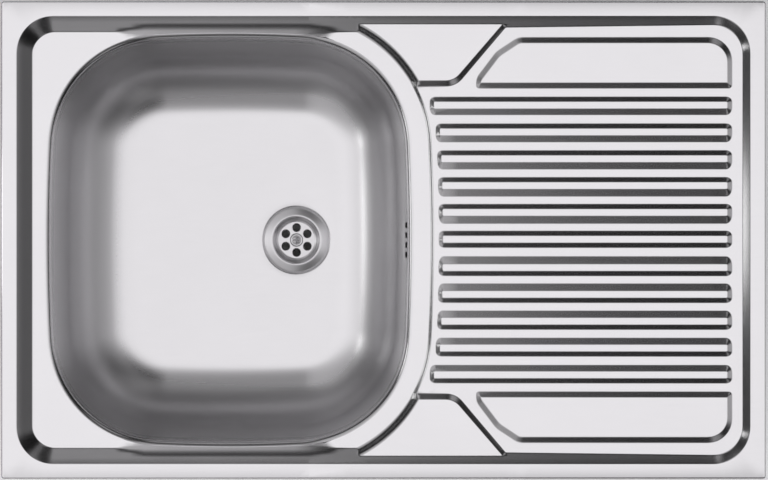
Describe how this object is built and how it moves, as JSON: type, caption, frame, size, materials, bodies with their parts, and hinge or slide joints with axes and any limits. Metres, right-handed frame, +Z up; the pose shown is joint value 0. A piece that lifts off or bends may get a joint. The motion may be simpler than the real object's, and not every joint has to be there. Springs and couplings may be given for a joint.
{
  "type": "kitchen sink with drainboard",
  "caption": "Inset stainless steel kitchen sink with one bowl, ribbed drainer, flat tap lands, grated waste, slotted overflow and clamps that grip the worktop.",
  "frame": {"origin": "middle of the rim's outline in the plane of the worktop that the rim lies on", "axes": "+X towards the drainer, +Y to the back, +Z up out of the worktop"},
  "size_m": [0.8, 0.5, 0.2339],
  "materials": {
    "sink_steel": "fine satin",
    "waste_steel": "polished",
    "zinc_plate": "bright zinc plate",
    "brass": "turned",
    "white_plastic": "moulded polypropylene",
    "black_rubber": "moulded",
    "grey_foam": "closed-cell foam",
    "damping_pad": "pressed bitumen sheet"
  },
  "bodies": {
    "root": {"sink_body": "sink_steel", "rim_seal": "grey_foam", "bowl_pad": "damping_pad", "waste_strainer": "waste_steel", "waste_screw": "waste_steel", "waste_upper_seal": "black_rubber", "waste_lower_gasket": "black_rubber", "waste_body": "white_plastic", "waste_nut": "brass", "overflow_gasket": "black_rubber", "overflow_housing": "white_plastic", "overflow_strap": "zinc_plate", "overflow_pipe": "white_plastic", "overflow_nut_top": "white_plastic", "overflow_seal_top": "black_rubber", "overflow_nut_bottom": "white_plastic", "overflow_seal_bottom": "black_rubber", "clamp_bracket_1": "zinc_plate", "clamp_bracket_2": "zinc_plate", "clamp_bracket_3": "zinc_plate", "clamp_bracket_4": "zinc_plate", "clamp_bracket_5": "zinc_plate", "clamp_bracket_6": "zinc_plate"},
    "screw_1": {"clamp_screw_1": "zinc_plate"},
    "claw_1": {"clamp_claw_1": "zinc_plate"},
    "screw_2": {"clamp_screw_2": "zinc_plate"},
    "claw_2": {"clamp_claw_2": "zinc_plate"},
    "screw_3": {"clamp_screw_3": "zinc_plate"},
    "claw_3": {"clamp_claw_3": "zinc_plate"},
    "screw_4": {"clamp_screw_4": "zinc_plate"},
    "claw_4": {"clamp_claw_4": "zinc_plate"},
    "screw_5": {"clamp_screw_5": "zinc_plate"},
    "claw_5": {"clamp_claw_5": "zinc_plate"},
    "screw_6": {"clamp_screw_6": "zinc_plate"},
    "claw_6": {"clamp_claw_6": "zinc_plate"}
  },
  "joints": [
    {"name": "clamp_1_lift", "type": "slide", "parent": "root", "child": "screw_1", "axis": [0, 0, 1], "range_m": [0, 0.015]},
    {"name": "clamp_1_swivel", "type": "hinge", "parent": "screw_1", "child": "claw_1", "pos_m": [-0.24, 0.226, -0.05], "axis": [0, 0, 1], "range_deg": [0, 90]},
    {"name": "clamp_2_lift", "type": "slide", "parent": "root", "child": "screw_2", "axis": [0, 0, 1], "range_m": [0, 0.015]},
    {"name": "clamp_2_swivel", "type": "hinge", "parent": "screw_2", "child": "claw_2", "pos_m": [0.24, 0.226, -0.05], "axis": [0, 0, 1], "range_deg": [-90, 0]},
    {"name": "clamp_3_lift", "type": "slide", "parent": "root", "child": "screw_3", "axis": [0, 0, 1], "range_m": [0, 0.015]},
    {"name": "clamp_3_swivel", "type": "hinge", "parent": "screw_3", "child": "claw_3", "pos_m": [0.376, 0, -0.05], "axis": [0, 0, 1], "range_deg": [-90, 0]},
    {"name": "clamp_4_lift", "type": "slide", "parent": "root", "child": "screw_4", "axis": [0, 0, 1], "range_m": [0, 0.015]},
    {"name": "clamp_4_swivel", "type": "hinge", "parent": "screw_4", "child": "claw_4", "pos_m": [0.24, -0.226, -0.05], "axis": [0, 0, 1], "range_deg": [0, 90]},
    {"name": "clamp_5_lift", "type": "slide", "parent": "root", "child": "screw_5", "axis": [0, 0, 1], "range_m": [0, 0.015]},
    {"name": "clamp_5_swivel", "type": "hinge", "parent": "screw_5", "child": "claw_5", "pos_m": [-0.24, -0.226, -0.05], "axis": [0, 0, 1], "range_deg": [-90, 0]},
    {"name": "clamp_6_lift", "type": "slide", "parent": "root", "child": "screw_6", "axis": [0, 0, 1], "range_m": [0, 0.015]},
    {"name": "clamp_6_swivel", "type": "hinge", "parent": "screw_6", "child": "claw_6", "pos_m": [-0.376, 0, -0.05], "axis": [0, 0, 1], "range_deg": [-90, 0]}
  ]
}
